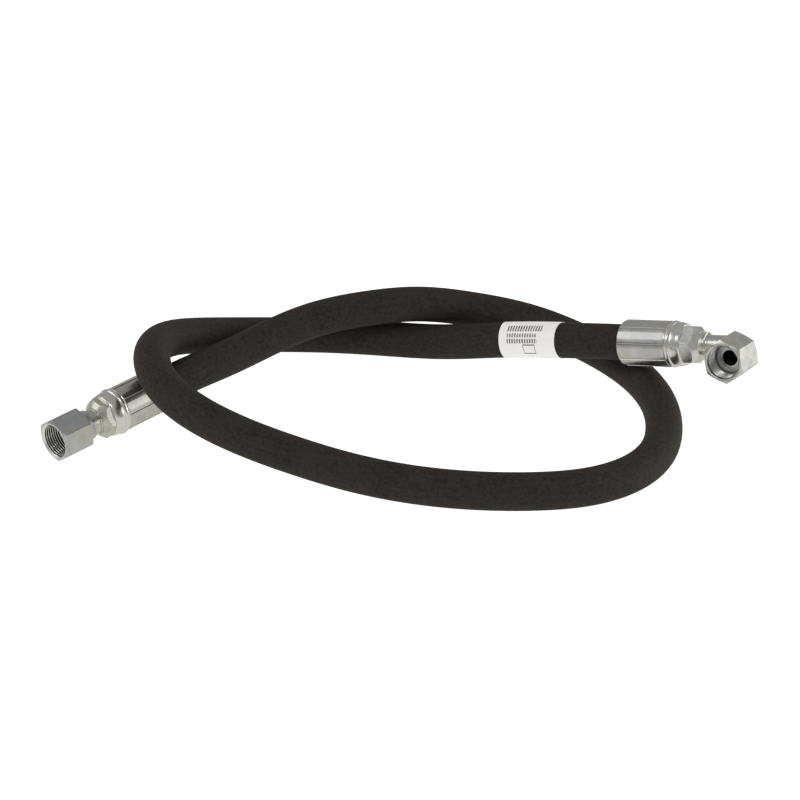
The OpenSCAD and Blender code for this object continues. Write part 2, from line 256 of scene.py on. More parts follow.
def makeWireLook():
    # two sets of brass-coated wires that cross over each other, darker down between the wires as painted
    # shade
    look = Look("braidedWire")
    along, around = look.split(look.layout())[:2]
    carriers = wireLook["carriers"]
    lengthwise = look.times(along, wireLook["slant"] * carriers)
    crosswise = look.times(around, carriers)
    first = look.plus(lengthwise, crosswise)
    second = look.minus(lengthwise, crosswise)
    over = look.above(look.times(look.wave(first, pi), look.wave(second, pi)), 0)
    wireWave = pi * wireLook["wires"]
    upper = look.times(look.size(look.wave(first, wireWave)), over)
    lower = look.times(look.size(look.wave(second, wireWave)), look.minus(1, over))
    height = look.plus(upper, lower)
    # the dark first tone, down between the wires, is painted shade
    return look.finish({"Base Color": look.blend(height, wireLook["toneLimits"], wireLook["tones"]),
                        "Metallic": 1, "Roughness": look.ramp(height, *wireLook["roughness"]),
                        "Normal": look.bump(height, *wireLook["bump"])})


# bright zinc, common to all the fittings' parts
zinc = {
    "noises": {"cloud": (130, 4, 0.62), "tint": (55, 2, 0.5), "speck": (2400, 2, 0.6)},
    "lineStretch": (20, 20, 5200), "line": (1, 3, 0.7), "lineDepth": 0.06,
    "streakStretch": (900, 900, 60), "streak": (1, 3, 0.6), "streakDepth": 0.08,
    "toneLimits": (0.34, 0.66),
    "layers": (("tint", 0.5, 0.72, 0.55, (0.63, 0.6, 0.48, 1)),
               ("tint", 0.46, 0.28, 0.35, (0.5, 0.54, 0.62, 1))),
    "roughLimits": (0.3, 0.7), "smoother": 0.05, "rougher": 0.07,
    "speckRough": (0.4, 0.7, -0.02, 0.03), "speckBump": (0.02, 0.35)}

# each part's two tones, its roughness, and how much its turning and its lengthwise marks show
plates = {
    "leftShell": {"name": "shellZincLeft", "tones": ((0.6, 0.59, 0.52, 1), (0.77, 0.76, 0.69, 1)),
                  "rough": 0.3, "turning": 0.15, "streaks": 0.35},
    "rightShell": {"name": "shellZincRight", "tones": ((0.6, 0.595, 0.57, 1), (0.76, 0.755, 0.725, 1)),
                   "rough": 0.32, "turning": 0.15, "streaks": 0.35},
    "leftStem": {"name": "stemZincLeft", "tones": ((0.62, 0.61, 0.53, 1), (0.8, 0.79, 0.7, 1)),
                 "rough": 0.32, "turning": 0.5, "streaks": 0},
    "rightStem": {"name": "stemZincRight", "tones": ((0.72, 0.715, 0.67, 1), (0.9, 0.895, 0.85, 1)),
                  "rough": 0.28, "turning": 0.5, "streaks": 0},
    "tube": {"name": "tubeZinc", "tones": ((0.76, 0.76, 0.72, 1), (0.9, 0.9, 0.87, 1)),
             "rough": 0.24, "turning": 0.12, "streaks": 0},
    "sleeve": {"name": "sleeveZinc", "tones": ((0.84, 0.84, 0.81, 1), (0.95, 0.945, 0.93, 1)),
               "rough": 0.42, "turning": 0.5, "streaks": 0},
    "leftNut": {"name": "nutZincLeft", "tones": ((0.53, 0.54, 0.53, 1), (0.66, 0.665, 0.65, 1)),
                "rough": 0.3, "turning": 0.1, "streaks": 0.25},
    "rightNut": {"name": "nutZincRight", "tones": ((0.7, 0.692, 0.65, 1), (0.89, 0.878, 0.825, 1)),
                 "rough": 0.3, "turning": 0.1, "streaks": 0.25}}


def zincPlate(part, place, details=()):
    # turning marks run round the fitting's own axis; each detail changes the tone and the roughness
    plate = plates[part]
    look = Look(plate["name"])
    local = look.ownCoords(place)
    spot = look.split(local)
    patterns = look.noises(local, zinc["noises"])
    lines = look.noise(look.stretched(local, zinc["lineStretch"]), *zinc["line"])
    tone = look.blend(patterns["cloud"], zinc["toneLimits"], plate["tones"])
    tone = look.layered(tone, patterns, zinc["layers"])
    rough = look.ramp(patterns["cloud"], *zinc["roughLimits"],
                      plate["rough"] - zinc["smoother"], plate["rough"] + zinc["rougher"])
    rough = look.plus(rough, look.ramp(patterns["speck"], *zinc["speckRough"]))
    for detail in details:
        tone, rough = detail(look, spot, tone, rough)
    normal = look.bump(lines, zinc["lineDepth"], plate["turning"])
    if plate["streaks"]:
        streak = look.noise(look.stretched(local, zinc["streakStretch"]), *zinc["streak"])
        normal = look.bump(streak, zinc["streakDepth"], plate["streaks"], normal)
    normal = look.bump(patterns["speck"], *zinc["speckBump"], normal)
    return look.finish({"Base Color": tone, "Metallic": 1, "Roughness": rough, "Normal": normal})


turnedEnd = {"fade": 0.3, "strength": 0.75, "tone": (0.93, 0.925, 0.87, 1), "smoother": 0.08}


def brightEnd(look, spot, tone, rough):
    # the turned bead and nose past the dies keep a brighter, smoother skin
    end = look.ramp(spot[2], (shell["length"] - turnedEnd["fade"]) * mm,
                    (shell["length"] + turnedEnd["fade"]) * mm)
    tone = look.mix(look.times(end, turnedEnd["strength"]), tone, turnedEnd["tone"])
    return tone, look.minus(rough, look.times(end, turnedEnd["smoother"]))


# painted light along the shell's ridges: a dark painted shade line at each foot, a bright painted highlight
# line on each crown
paintedRidgeLines = {"foot": 2.3, "footFade": (0.3, 1, 0.75, 0), "footPaintedShade": (0.2, 0.195, 0.18, 1),
           "crownFade": (0.6, 1.4, 0.8, 0), "crownPaintedHighlight": (0.95, 0.945, 0.92, 1), "endGap": 0.8}


def paintRidgeLight(turn):
    # each ridge gets a painted shade line at its foot and a painted highlight line on its crown, inside the
    # pressed length
    def mark(look, spot, tone, rough):
        sector = 360 / shell["dies"]
        wholeTurns = shell["dies"]           # keeps the share of a sector above zero
        angle = look.maths("ARCTAN2", spot[1], spot[0])
        sectors = look.maths("DIVIDE", angle, radians(sector))
        share = look.fraction(look.plus(sectors, 0.5 - turn / sector + wholeTurns))
        aside = look.size(look.times(look.minus(share, 0.5), sector))
        pressed = look.below(spot[2], (shell["length"] - paintedRidgeLines["endGap"]) * mm)
        foot = look.ramp(look.size(look.minus(aside, paintedRidgeLines["foot"])), *paintedRidgeLines["footFade"])
        crown = look.ramp(aside, *paintedRidgeLines["crownFade"])
        # painted shade at the ridge's foot, then a painted highlight on its crown
        tone = look.mix(look.times(foot, pressed), tone, paintedRidgeLines["footPaintedShade"])
        return look.mix(look.times(crown, pressed), tone, paintedRidgeLines["crownPaintedHighlight"]), rough
    return mark


# painted light inside the nuts: painted highlight on the thread crests and the mouth chamfer, painted shade
# in the roots
cutThread = {"crestPaintedHighlight": (0.95, 0.95, 0.91, 1), "rootPaintedShade": (0.085, 0.084, 0.078, 1),
             "rootFrom": 0.03, "rootTo": 0.45, "mouthPaintedHighlight": (0.95, 0.95, 0.93, 1)}


def paintThreadLight(first, last):
    # a painted highlight over the thread between two heights, painted shade in its roots, and a painted
    # highlight on the chamfer at the mouth
    def mark(look, spot, tone, rough):
        squares = look.plus(look.maths("POWER", spot[0], 2), look.maths("POWER", spot[1], 2))
        radius = look.maths("SQRT", squares)
        inside = look.below(radius, nut["hexFrom"] * mm)
        past = look.above(spot[2], last * mm)
        cut = look.times(look.times(inside, look.minus(1, past)), look.above(spot[2], first * mm))
        tone = look.mix(cut, tone, cutThread["crestPaintedHighlight"])
        root = look.ramp(radius, (nut["minor"] + cutThread["rootFrom"]) * mm,
                         (nut["minor"] + cutThread["rootTo"]) * mm)
        # painted shade, deepening towards the thread's roots
        tone = look.mix(look.times(cut, root), tone, cutThread["rootPaintedShade"])
        return look.mix(look.times(inside, past), tone, cutThread["mouthPaintedHighlight"]), rough
    return mark


brazeLook = {"wave": (620, 3, 0.6), "tones": ((0.62, 0.6, 0.52, 1), (0.86, 0.84, 0.78, 1)),
             "toneLimits": (0.35, 0.65), "roughness": (0.3, 0.7, 0.14, 0.26), "bump": (0.1, 0.4)}


def makeBrazeLook(place):
    look = Look("brazeMetal")
    wave = look.noise(look.ownCoords(place), *brazeLook["wave"])
    return look.finish({"Base Color": look.blend(wave, brazeLook["toneLimits"], brazeLook["tones"]),
                        "Metallic": 1, "Roughness": look.ramp(wave, *brazeLook["roughness"]),
                        "Normal": look.bump(wave, *brazeLook["bump"])})


# rows and square: from and to round the sleeve, then from and to along it, as shares
filmLook = {
    "rows": ((0.632, 0.696, 0.14, 0.75), (0.578, 0.613, 0.144, 0.676), (0.525, 0.565, 0.144, 0.685)),
    "pitch": 22, "dash": 0.62, "square": (0.418, 0.516, 0.42, 0.64), "rim": 0.012,
    "wear": (900, 3, 0.7), "wearLimits": (0.3, 0.5, 0.35, 0.85), "ink": (0.035, 0.037, 0.042, 1),
    "grime": (90, 3, 0.6), "grimeLimits": (0.4, 0.75, 0, 0.5), "roughness": (0.3, 0.7, 0.34, 0.46),
    "tones": ((0.93, 0.92, 0.915, 1), (0.84, 0.825, 0.82, 1)), "bump": (0.2, 0.3), "glow": 0.34,
    "coat": 0.25, "coatRoughness": 0.2}


def makeFilmLook():
    # white film with a plain printed form: short bars in rows and an empty square; the film glows faintly,
    # painted light that brightens it
    look = Look("labelFilm")
    place = look.ownCoords()
    along, height = look.split(look.layout())[:2]
    around = look.fraction(look.plus(height, 0.5))           # 0.5 faces straight out sideways

    def within(value, low, high):
        return look.times(look.above(value, low), look.below(value, high))

    def patch(low, high, start, end):
        return look.times(within(around, low, high), within(along, start, end))

    dashes = look.below(look.fraction(look.times(along, filmLook["pitch"])), filmLook["dash"])
    low, high, start, end = filmLook["square"]
    rim = filmLook["rim"]
    printed = look.minus(patch(low, high, start, end), patch(low + rim, high - rim, start + rim, end - rim))
    for row in filmLook["rows"]:
        printed = look.maths("MAXIMUM", printed, look.times(patch(*row), dashes))
    wear = look.noise(place, *filmLook["wear"])
    printed = look.times(printed, look.ramp(wear, *filmLook["wearLimits"]))
    grime = look.noise(place, *filmLook["grime"])
    tone = look.mix(printed, look.blend(grime, filmLook["grimeLimits"], filmLook["tones"]), filmLook["ink"])
    # the film's glow is painted light: it brightens the film beyond what the lamps give
    return look.finish({"Base Color": tone, "Emission Color": tone, "Emission Strength": filmLook["glow"],
                        "Roughness": look.ramp(grime, *filmLook["roughness"]),
                        "Normal": look.bump(grime, *filmLook["bump"]),
                        "Coat Weight": filmLook["coat"], "Coat Roughness": filmLook["coatRoughness"]})


def makePiece(bm, name, material, body, nodes, sharp=16):
    # edges that turn more than sharp degrees stay hard
    for face in bm.faces:
        face.smooth = True
    for edge in bm.edges:
        edge.smooth = len(edge.link_faces) == 2 and edge.calc_face_angle(0) < radians(sharp)
    mesh = bpy.data.meshes.new(name)
    bm.to_mesh(mesh)
    bm.free()
    mesh.materials.append(material)
    piece = addObject(name, mesh)
    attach(piece, body)
    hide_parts(*nodes)
    return piece


def makeGrid(rows, columns, layoutName=None):
    # a flat grid, and the row and column that each of its points stands for
    bm = bmesh.new()
    if layoutName:
        bm.loops.layers.uv.new(layoutName)
    bmesh.ops.create_grid(bm, x_segments=rows, y_segments=columns, size=1)
    spots = {vert: (round((vert.co.x + 1) / 2 * rows), round((vert.co.y + 1) / 2 * columns))
             for vert in bm.verts}
    return bm, spots


def closeGrid(bm):
    # the rolled grid's meeting edges become one
    bmesh.ops.remove_doubles(bm, verts=bm.verts, dist=mergeWithin * mm)
    bmesh.ops.recalc_face_normals(bm, faces=bm.faces)


def turned(outline, steps, place, shape=None, turn=0):
    # a grid rolled round the axis: a closed (radius, height) outline one way, the turn the other;
    # shape(angle, radius, height) gives each point's new radius
    rows = list(outline) + [outline[0]]
    bm, spots = makeGrid(len(rows) - 1, steps)
    for vert, (row, column) in spots.items():
        radius, height = rows[row]
        angle = 360 / steps * (column % steps)
        if shape:
            radius = shape(angle, radius, height)
        around = radians(angle + turn)
        vert.co = (radius * mm * cos(around), radius * mm * sin(around), height * mm)
    bmesh.ops.transform(bm, verts=bm.verts, matrix=place)
    closeGrid(bm)
    return bm


def spread(first, last, count):
    # evenly spaced (radius, height) points from the first to the last, both included
    return [(first[0] + (last[0] - first[0]) * k / count, first[1] + (last[1] - first[1]) * k / count)
            for k in range(count + 1)]


def arc(centre, radii, start, end, step):
    # points on an arc of a circle or an ellipse, angles from the radial direction towards +Z
    count = max(1, round(abs(end - start) / step))
    angles = [radians(start + (end - start) * k / count) for k in range(count + 1)]
    return [(centre[0] + radii[0] * cos(angle), centre[1] + radii[1] * sin(angle)) for angle in angles]


def hexRadius(angle, flats, corner):
    fromFlat = 30 - abs((angle + 30) % 60 - 30)          # corners lie at whole multiples of 60
    return min(flats / 2 / cos(radians(fromFlat)), corner)


class SmoothLine:
    # a natural cubic spline through points, measured along its chords
    def __init__(self, points):
        self.points = numpy.array([tuple(point) for point in points])
        gaps = numpy.linalg.norm(numpy.diff(self.points, axis=0), axis=1)
        self.knots = numpy.concatenate([[0], numpy.cumsum(gaps)])
        count = len(self.points)
        matrix = numpy.eye(count)
        sides = numpy.zeros((count, 3))
        for i in range(1, count - 1):
            before, after = gaps[i - 1], gaps[i]
            matrix[i, i - 1:i + 2] = before, 2 * (before + after), after
            sides[i] = 6 * ((self.points[i + 1] - self.points[i]) / after
                            - (self.points[i] - self.points[i - 1]) / before)
        self.bends = numpy.linalg.solve(matrix, sides)

    def at(self, station):
        i = int(numpy.clip(numpy.searchsorted(self.knots, station) - 1, 0, len(self.knots) - 2))
        gap = self.knots[i + 1] - self.knots[i]
        after, before = (station - self.knots[i]) / gap, (self.knots[i + 1] - station) / gap
        point = before * self.points[i] + after * self.points[i + 1]
        point = point + ((before ** 3 - before) * self.bends[i]
                         + (after ** 3 - after) * self.bends[i + 1]) * gap ** 2 / 6
        return Vector(point)

    def stations(self, start, end, step):
        count = max(2, round((end - start) / step))
        return [start + (end - start) * k / count for k in range(count + 1)]


def tube(line, stations, sides, outside, inside, patternLength):
    # a grid rolled into a closed tube round a line: along its outside, then back along its inside
    centres = [line.at(station) for station in stations]
    chords = [(b - a).normalized() for a, b in zip(centres, centres[1:])]
    ahead = [chords[0]] + [(a + b).normalized() for a, b in zip(chords, chords[1:])] + [chords[-1]]
    across = [way.cross(Vector((0, 0, 1))).normalized() for way in ahead]
    upward = [side.cross(way) for side, way in zip(across, ahead)]
    runs = [0.0]
    for a, b in zip(centres, centres[1:]):
        runs.append(runs[-1] + (b - a).length)
    order = list(range(len(stations)))
    rows = [(k, outside) for k in order] + [(k, inside) for k in reversed(order)] + [(0, outside)]

    bm, spots = makeGrid(len(rows) - 1, sides, "UVMap")
    layout = bm.loops.layers.uv["UVMap"]
    for face in bm.faces:
        for loop in face.loops:
            row, column = spots[loop.vert]
            loop[layout].uv = runs[rows[row][0]] / patternLength, column / sides
    for vert, (row, column) in spots.items():
        k, radius = rows[row]
        angle = 2 * pi * (column % sides) / sides
        outwards = across[k] * cos(angle) + upward[k] * sin(angle)
        vert.co = centres[k] + outwards * radius(stations[k]) * mm
    closeGrid(bm)
    return bm


# the mouth of each crimp shell, and which way the fitting points
leftEnd = {"mouth": (-145.6, 6.6, 21.8), "heading": 224.3, "tilt": -5.9}
rightEnd = {"mouth": (137, 46.3, 36), "heading": -30.7, "tilt": 10.3, "elbowTurn": 4.4}

# crimp shell, its heights measured from its mouth; an arc is its start, end and step in degrees,
# and wallMiddle is a radius between the shell's bore and its outside
shell = {"length": 32.4, "flat": 13.5, "flatness": 0.75, "dies": 8, "bevel": 1.5, "bevelRows": 5,
         "ridge": 14.1, "ridgeHeight": 0.48, "ridgeHalfAngle": 2.0, "ridgeRise": 0.9,
         "rowsFrom": 2.2, "rowsTo": 1.4, "rows": 12, "fadeFrom": 1.1, "fadeTo": 0.2, "fadeRows": 3,
         "fade": 1.2, "fadeShare": 0.5, "beadWidth": 3.7, "bead": 14.3, "beadArc": (-62, 62, 8), "nose": 6.2,
         "noseArc": (6, 90, 6), "draw": 1.6, "noseFace": 0.5,
         "wallMiddle": 11.9, "boreRadius": 10.15, "boreRows": 4, "mouthRadius": 11.3, "mouthDepth": 0.6,
         "mouthBevel": 0.4, "flare": 4.2, "flangeBore": 7.65, "collar": 3.9, "steps": 720, "sharp": 14,
         "leftTurn": 5, "rightTurn": 28}

# the stems: one turned piece from the barbs in the hose to the hexagon and past it
stem = {"bore": 4.9, "boreBevel": 0.3, "tail": 6.3, "barb": 0.35, "barbs": 8, "barbShare": 0.7, "tip": 1,
        "collar": 9.3, "lock": 7.6, "flats": 22.2, "corner": 12.65, "rearBevel": 0.8, "rearRows": 3,
        "coneEnd": 8.7, "coneRows": 24, "neck": 7.8, "neckMargin": 0.2, "foot": 8.4, "footHeight": 0.8,
        "footBevel": 0.25, "footLength": 1.1, "leftHex": 6.8, "rightHex": 10.2, "neckLength": 5.1,
        "sealRadius": 8.65, "sealBevel": 0.4, "socket": 2.9, "socketDepth": 6, "socketGap": 0.05,
        "socketBevel": 0.3, "socketRise": 0.5, "steps": 360, "leftTurn": 22, "rightTurn": 10}

# the swivel nuts: heights measured from each nut's rear
nut = {"flats": 23.8, "corner": 13.6, "face": 11.6, "faceAngle": 30, "faceRows": 16, "hexFrom": 11,
       "leftHex": 20.3, "rightHex": 22.3, "minor": 9.5, "major": 10.32, "pitch": 1.5875, "pitchRows": 10,
       "crest": 0.14, "flank": 0.74, "runIn": 1.2, "runOut": 0.8, "runPast": 0.6, "threadGap": 0.2,
       "mouthChamfer": 1, "mouthEdge": 0.12, "mouthRim": 0.1, "relief": 10.4, "reliefLength": 3,
       "reliefEdge": 0.1, "headEdge": 0.3, "headBore": 8.9, "skirt": 5.6, "skirtWall": 1.6, "skirtEdge": 0.3,
       "skirtRows": 4, "lip": 1.5, "lipWall": 1, "lipBore": 8.05, "lipEdge": 0.35, "lipBoreEdge": 0.15,
       "rearWall": 4.7, "rearBore": 6.6, "rearEdge": 0.3, "backGap": 0.5, "runningGap": 0.25,
       "leftRecess": 12.5, "rightRecess": 10, "steps": 360, "leftTurn": 2, "rightTurn": 4}

# the bent tube, the braze ring at its foot, and the sleeve at its end
elbow = {"radius": 6.35, "wall": 1.5, "bend": 12.5, "leg": 12, "straightParts": 6, "bendArc": (6, 90, 6),
         "step": 0.8, "sides": 72, "patternLength": 40, "sharp": 30}
braze = {"length": 3, "proud": 0.1, "edge": 0.15, "edgeHeight": 0.2, "rim": 0.8, "filletFrom": 1,
         "filletShare": 0.94, "filletArc": (-100, -180, 10), "steps": 96}
sleeve = {"rearBevel": 0.3, "steps": 96}

# heights along each fitting's own axis
hexStart = shell["length"] + shell["beadWidth"] + shell["nose"]
leftHexEnd = hexStart + stem["leftHex"]
rightHexEnd = hexStart + stem["rightHex"]
lipStart = leftHexEnd + stem["neckLength"]
leftNutLength = nut["skirt"] + nut["leftHex"]
leftSeal = lipStart + leftNutLength - nut["leftRecess"]
socketEnd = rightHexEnd + stem["socket"]
elbowCorner = socketEnd + braze["length"] + elbow["leg"] + elbow["bend"]
rightNutBack = elbow["bend"] + nut["backGap"]
rightNutFront = rightNutBack + nut["rightHex"]
rightSeal = rightNutFront - nut["rightRecess"]
sleeveBack = rightNutBack + nut["rearWall"] + nut["runningGap"]


def endPlace(end):
    # local +Z runs from the shell's mouth towards the nut
    return (Matrix.Translation(Vector(end["mouth"]) * mm)
            @ Matrix.Rotation(radians(end["heading"]), 4, "Z")
            @ Matrix.Rotation(radians(90 - end["tilt"]), 4, "Y"))


leftPlace = endPlace(leftEnd)
rightPlace = endPlace(rightEnd)
elbowTurned = rightPlace @ Matrix.Rotation(radians(-rightEnd["elbowTurn"]), 4, "Z")
elbowPlace = (elbowTurned @ Matrix.Translation((0, 0, elbowCorner * mm))
              @ Matrix.Rotation(radians(90), 4, "X"))

hose = {
    "bore": 6.35, "squeeze": 0.9, "tailGap": 0.05, "flare": 4.2, "endGap": 0.5, "lead": 22, "pathStep": 10,
    # from the inside out: piece, node, slot, outer radius
    "layers": (("innerTube", "inner_tube", "inner_rubber", 8),
               ("innerWireBraid", "inner_wire_braid", "braid_wire", 8.7),
               ("bondLayer", "bond_layer", "inner_rubber", 9),
               ("outerWireBraid", "outer_wire_braid", "braid_wire", 9.7),
               ("hoseCover", "hose_cover", "cover_rubber", 11)),
    "coverSides": 64, "coverStep": 2.4, "coreSides": 32, "coreStep": 7, "sharp": 30,
    "route": [
        (-105, 46, 26), (-79, 69.5, 30), (-52, 88, 34), (-21, 101.5, 35.5), (12, 113.5, 33.5),
        (45, 122, 26.5), (79, 119.3, 20), (108, 104.8, 14.3), (132, 78, 11.2), (147, 46, 11),
        (155, 12, 11), (156, -23, 11), (150, -57, 11), (134, -88, 12), (108, -111, 14),
        (75, -124, 17), (41, -127, 19), (6, -121, 20), (-27, -110, 22), (-59, -96.5, 26),
        (-91.5, -86, 34.3), (-120.5, -67.5, 42), (-139, -41, 46.8), (-147, -9, 49), (-144, 24, 45.5),
        (-132, 52, 37.5), (-110, 79, 27), (-80, 102, 17.5), (-45, 112.5, 12.5), (-10, 111, 11),
        (25, 102.5, 12.5), (65.7, 86.2, 20.6), (99.5, 68.7, 27.8)]}
coverRadius = hose["layers"][-1][-1]         # the outermost layer's
# the film runs between two of the route's points, counted from 0
label = {"firstPoint": 31, "lastPoint": 32, "thickness": 0.3, "gap": 0.01, "step": 2.2}


def hosePoints():
    # the straight stretch in and just outside each mouth, and the route between them
    heights = [shell["length"] - hose["endGap"], hose["flare"], -hose["endGap"], -hose["lead"]]
    left = [leftPlace @ Vector((0, 0, height * mm)) for height in heights]
    right = [rightPlace @ Vector((0, 0, height * mm)) for height in reversed(heights)]
    return left + [Vector(point) * mm for point in hose["route"]] + right


def squeezedRadius(free):
    # where the shell presses a layer onto the stem
    inner = stem["tail"] + hose["tailGap"]
    outer = coverRadius - hose["squeeze"]
    return inner + (outer - inner) * (free - hose["bore"]) / (coverRadius - hose["bore"])


def buildHose():
    line = SmoothLine(hosePoints())
    total, flareAt, mouthAt = line.knots[-1], line.knots[1], line.knots[2]
    finishes = {"inner_rubber": makeInnerLook(), "braid_wire": makeWireLook(),
                "cover_rubber": makeCoverLook()}

    def radiusAt(free):
        tight = squeezedRadius(free)

        def radius(station):
            inwards = min(station, total - station)
            share = min(max((inwards - flareAt) / (mouthAt - flareAt), 0), 1)
            return tight + (free - tight) * share
        return radius

    def layerStations(step):
        ends = [0, flareAt / 2, flareAt, (flareAt + mouthAt) / 2]
        middle = line.stations(mouthAt, total - mouthAt, step * mm)
        return ends + middle + [total - station for station in reversed(ends)]

    def stationOf(pointNumber):
        target = Vector(hose["route"][pointNumber]) * mm
        return min(line.stations(0, total, mm), key=lambda station: (line.at(station) - target).length)

    patternLength = 2 * pi * coverRadius * mm
    inner = hose["bore"]
    for name, node, slotName, outer in hose["layers"]:
        seen = outer == coverRadius
        sides = hose["coverSides"] if seen else hose["coreSides"]
        stations = layerStations(hose["coverStep"] if seen else hose["coreStep"])
        bm = tube(line, stations, sides, radiusAt(outer), radiusAt(inner), patternLength)
        makePiece(bm, name, finishes[slotName], "assembly", [node], hose["sharp"])
        inner = outer

    start, end = stationOf(label["firstPoint"]), stationOf(label["lastPoint"])
    bm = tube(line, line.stations(start, end, label["step"] * mm), hose["coverSides"],
              lambda station: coverRadius + label["thickness"],
              lambda station: coverRadius + label["gap"], end - start)
    film = makePiece(bm, "labelSleeve", makeFilmLook(), "assembly", ["label_sleeve"],
                     hose["sharp"])


buildHose()


def crimpRadius(angle):
    # die flats, slightly hollowed to the dies' curve, with a narrow ridge where two dies meet
    sector = 360 / shell["dies"]
    fromRidge = abs((angle + sector / 2) % sector - sector / 2)
    flat = shell["flat"] / cos(radians(sector / 2 - fromRidge))
    face = shell["flat"] + (flat - shell["flat"]) * shell["flatness"]
    low = min(face, shell["ridge"] - shell["ridgeHeight"])
    rise = min(1, max(0, (shell["ridgeHalfAngle"] - fromRidge) / shell["ridgeRise"]))
    return low + (shell["ridge"] - low) * rise


def shellShape(angle, radius, height):
    # the crimp presses the outside, and fades out towards the bead
    if radius < shell["wallMiddle"] or height > shell["length"]:
        return radius
    crimped = min(radius, crimpRadius(angle))
    fading = max(0, (height - shell["length"] + shell["fade"]) / shell["fade"])
    return crimped + (shell["flat"] - crimped) * fading * shell["fadeShare"]


def buildShell(name, node, place, turn):
    length, ridge, bore = shell["length"], shell["ridge"], shell["boreRadius"]
    beadRound = shell["beadWidth"] / 2
    beadMiddle = (shell["bead"] - beadRound, length + beadRound)
    noseTip = shell["flat"] - shell["draw"]
    collarEnd = length + shell["collar"]
    outline = spread((ridge - shell["bevel"], 0), (ridge, shell["bevel"]), shell["bevelRows"])
    outline += spread((ridge, shell["rowsFrom"]), (ridge, length - shell["rowsTo"]), shell["rows"])
    outline += spread((ridge, length - shell["fadeFrom"]), (ridge, length - shell["fadeTo"]),
                      shell["fadeRows"])
    outline += arc(beadMiddle, (beadRound, beadRound), *shell["beadArc"])
    outline += arc((noseTip, hexStart - shell["nose"]), (shell["draw"], shell["nose"]), *shell["noseArc"])
    outline += [(noseTip - shell["noseFace"], hexStart), (shell["flangeBore"], hexStart),
                (shell["flangeBore"], collarEnd), (bore, collarEnd)]
    outline += spread((bore, length), (bore, shell["flare"]), shell["boreRows"])
    outline += [(shell["mouthRadius"], shell["mouthDepth"]), (shell["mouthRadius"] + shell["mouthBevel"], 0)]
    bm = turned(outline, shell["steps"], place, shellShape, turn)
    plate = zincPlate(name, place, (brightEnd, paintRidgeLight(turn)))
    makePiece(bm, name, plate, "assembly", [node], shell["sharp"])


buildShell("leftShell", "left_shell", leftPlace, shell["leftTurn"])
buildShell("rightShell", "right_shell", rightPlace, shell["rightTurn"])
print("shells done")


def buildStem(name, node, place, hexLength, turn, front):
    hexEnd = hexStart + hexLength
    flange = shell["length"] + shell["collar"]
    tailStep = (shell["length"] - stem["tip"]) / stem["barbs"]
    outline = []
    for k in range(stem["barbs"]):
        start = stem["tip"] + k * tailStep
        outline += [(stem["tail"] - stem["barb"], start),
                    (stem["tail"], start + tailStep * stem["barbShare"])]
    outline += [(stem["tail"], shell["length"]), (stem["collar"], shell["length"]), (stem["collar"], flange),
                (stem["lock"], flange), (stem["lock"], hexStart)]
    outline += spread((stem["corner"] - stem["rearBevel"], hexStart),
                      (stem["corner"], hexStart + stem["rearBevel"]), stem["rearRows"])
    outline += spread((stem["corner"], hexEnd - (stem["corner"] - stem["coneEnd"])),
                      (stem["coneEnd"], hexEnd), stem["coneRows"])
    outline += front + [(stem["bore"], stem["tip"])]

    def shape(angle, radius, height):
        if radius > stem["neck"] + stem["neckMargin"] and hexStart - nearly < height < hexEnd + nearly:
            return min(radius, hexRadius(angle, stem["flats"], stem["corner"]))
        return radius

    bm = turned(outline, stem["steps"], place, shape, turn)
    makePiece(bm, name, zincPlate(name, place), "assembly", [node])


def leftFront():
    # a low collar, the neck, and the head with its flat seal face
    foot, neck, head = stem["foot"], stem["neck"], stem["sealRadius"]
    footTop = leftHexEnd + stem["footHeight"]
    shoulder = lipStart + nut["lip"] + nut["runningGap"]
    return [(foot, leftHexEnd), (foot, footTop), (foot - stem["footBevel"], footTop + stem["footBevel"]),
            (neck, leftHexEnd + stem["footLength"]), (neck, shoulder), (head, shoulder + head - neck),
            (head, leftSeal - stem["sealBevel"]), (head - stem["sealBevel"], leftSeal),
            (stem["bore"] + stem["boreBevel"], leftSeal), (stem["bore"], leftSeal - stem["boreBevel"])]


socketWall = elbow["radius"] + stem["socketGap"]


def rightFront():
    # a short neck and the socket that the tube sits in
    neck, bevel = stem["neck"], stem["socketBevel"]
    socketFloor = socketEnd - stem["socketDepth"]
    return [(neck + stem["socketRise"], rightHexEnd), (neck, rightHexEnd + stem["socketRise"]),
            (neck, socketEnd - bevel), (neck - bevel, socketEnd), (socketWall, socketEnd),
            (socketWall, socketFloor), (stem["bore"], socketFloor)]


buildStem("leftStem", "left_stem", leftPlace, stem["leftHex"], stem["leftTurn"], leftFront())
buildStem("rightStem", "right_stem", rightPlace, stem["rightHex"], stem["rightTurn"], rightFront())
print("stems done")


def buildTube():
    bend = elbow["bend"]
    start = socketEnd - stem["socketDepth"]
    parts = elbow["straightParts"]
    points = [(0, 0, start + (elbowCorner - bend - start) * k / parts) for k in range(parts + 1)]
    points += [(0, y, z) for y, z in arc((-bend, elbowCorner - bend), (bend, bend), *elbow["bendArc"])]
    points += [(0, -bend - (rightSeal - bend) * k / parts, elbowCorner) for k in range(1, parts + 1)]
    line = SmoothLine([elbowTurned @ (Vector(point) * mm) for point in points])
    bm = tube(line, line.stations(0, line.knots[-1], elbow["step"] * mm), elbow["sides"],
              lambda station: elbow["radius"], lambda station: elbow["radius"] - elbow["wall"],
              elbow["patternLength"] * mm)
    makePiece(bm, "rightTube", zincPlate("tube", elbowPlace), "assembly", ["right_tube"],
              elbow["sharp"])


